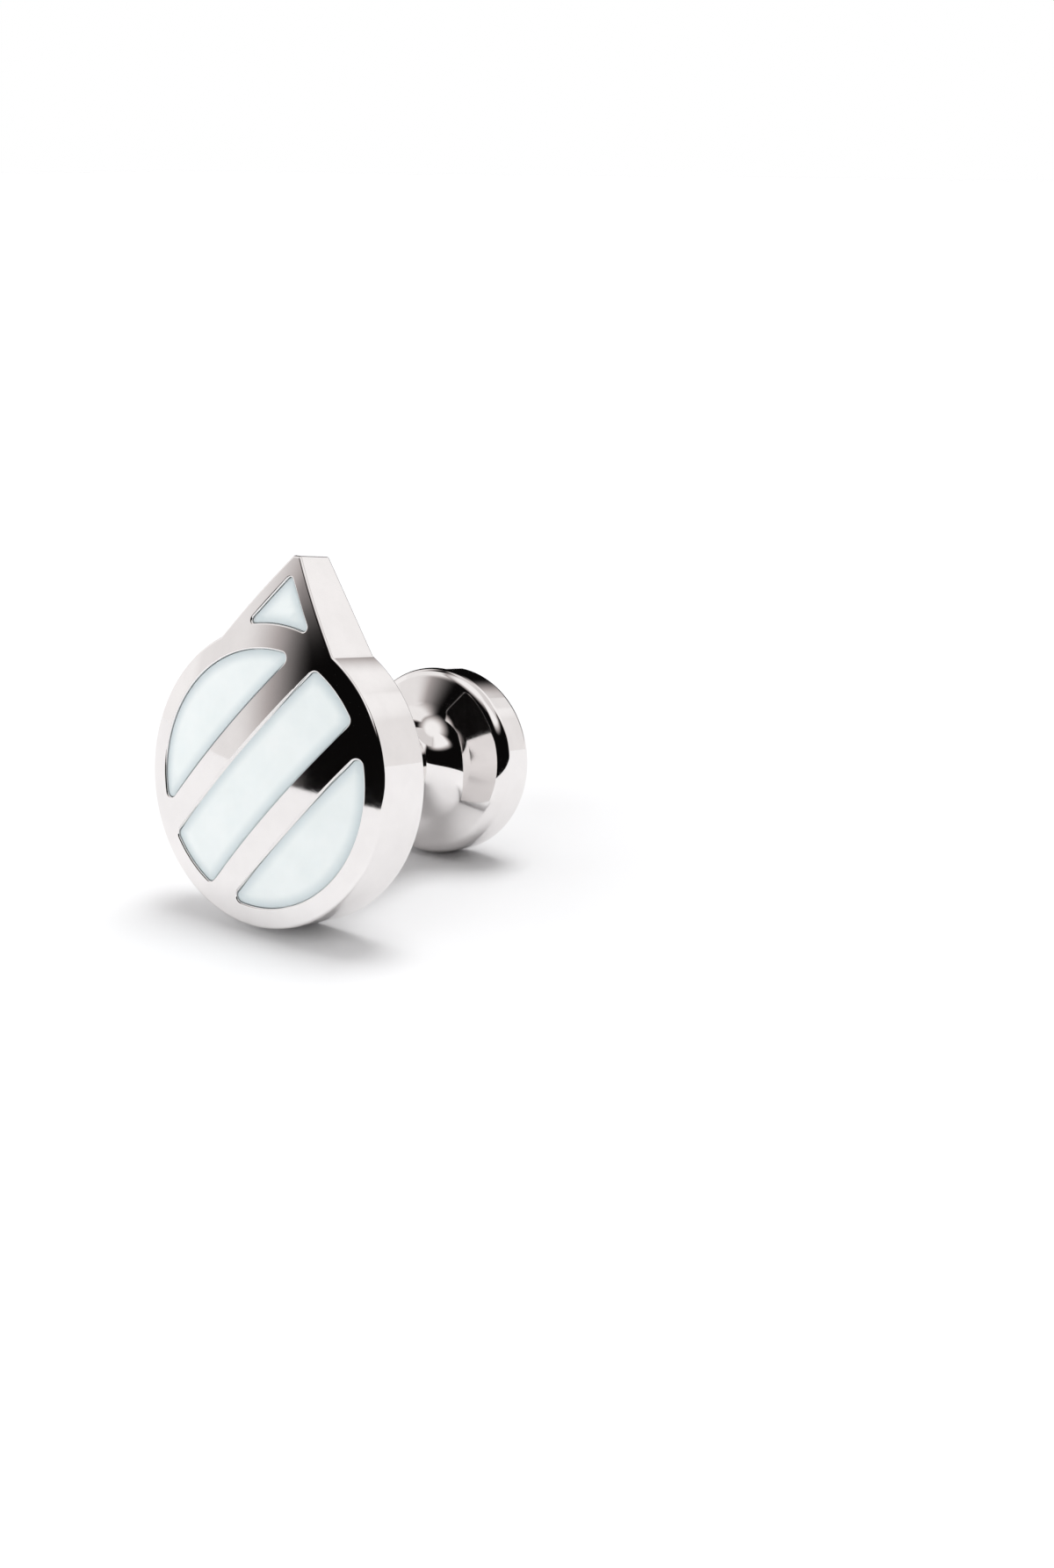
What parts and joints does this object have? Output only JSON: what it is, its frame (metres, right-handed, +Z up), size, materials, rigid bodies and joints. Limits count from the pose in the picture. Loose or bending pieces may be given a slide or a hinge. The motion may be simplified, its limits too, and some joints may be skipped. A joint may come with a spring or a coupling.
{
  "type": "cufflink",
  "caption": "Cufflink with a thick round head drawn out to a point, white inlays behind polished rims, a straight post and a round end button.",
  "frame": {"origin": "on the floor, under the middle of the cufflink's box as it stands on the edges of its head and its button", "axes": "+X to the right as seen from the front, +Y from the head's front towards the button, +Z up towards the head's tip; the post slopes down towards the button by 10.8 degrees"},
  "size_m": [0.016, 0.0194, 0.0198],
  "materials": {
    "white_gold": "polished",
    "white_inlay": "gloss"
  },
  "bodies": {
    "root": {"head": "white_gold", "inlay_tip": "white_inlay", "inlay_left": "white_inlay", "inlay_middle": "white_inlay", "inlay_right": "white_inlay", "foot_disc": "white_gold", "post": "white_gold", "button": "white_gold"}
  },
  "joints": []
}
